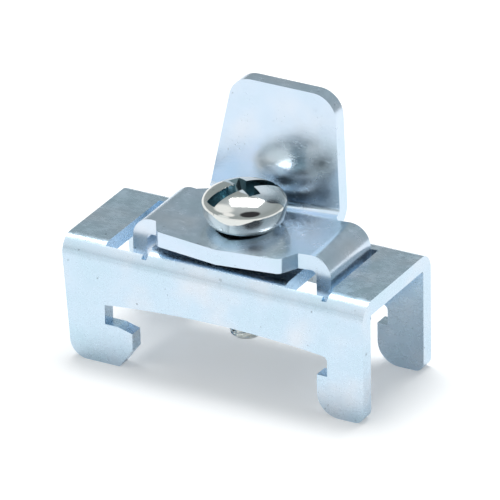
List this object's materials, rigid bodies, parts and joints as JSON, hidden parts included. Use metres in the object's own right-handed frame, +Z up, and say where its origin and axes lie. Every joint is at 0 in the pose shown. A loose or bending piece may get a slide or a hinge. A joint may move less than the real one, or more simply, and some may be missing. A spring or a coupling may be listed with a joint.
{
  "type": "DIN rail end stop",
  "caption": "End stop for a 35 mm mounting rail: a hooked saddle bracket, a clamp plate with an upright stop tab, and a clamping screw.",
  "frame": {"origin": "on the screw's axis at the level of the feet, under the middle of the bracket", "axes": "+Z up along the screw, X along the bracket and across the rail, Y along the rail with the stop tab's stop face towards +Y"},
  "size_m": [0.0482, 0.0204, 0.0399],
  "materials": {
    "bracket_zinc": "bright blue-white zinc plating",
    "plate_zinc": "bright blue-white zinc plating",
    "screw_nickel": "polished nickel plating"
  },
  "bodies": {
    "bracket": {"bracket": "bracket_zinc"},
    "clamp_plate": {"clamp_plate": "plate_zinc"},
    "screw": {"screw": "screw_nickel"}
  },
  "joints": [
    {"name": "clamp_slide", "type": "slide", "parent": "bracket", "child": "clamp_plate", "axis": [0, 0, 1], "range_m": [-0.00044, 0.0024]},
    {"name": "screw_turn", "type": "hinge", "parent": "clamp_plate", "child": "screw", "pos_m": [0, 0, 0.02155], "axis": [0, 0, 1], "range_deg": [-198.1, 1080.1]}
  ],
  "couplings": [
    {"joint": "screw_turn", "follows": "clamp_slide", "rad_per_m": 7854}
  ]
}
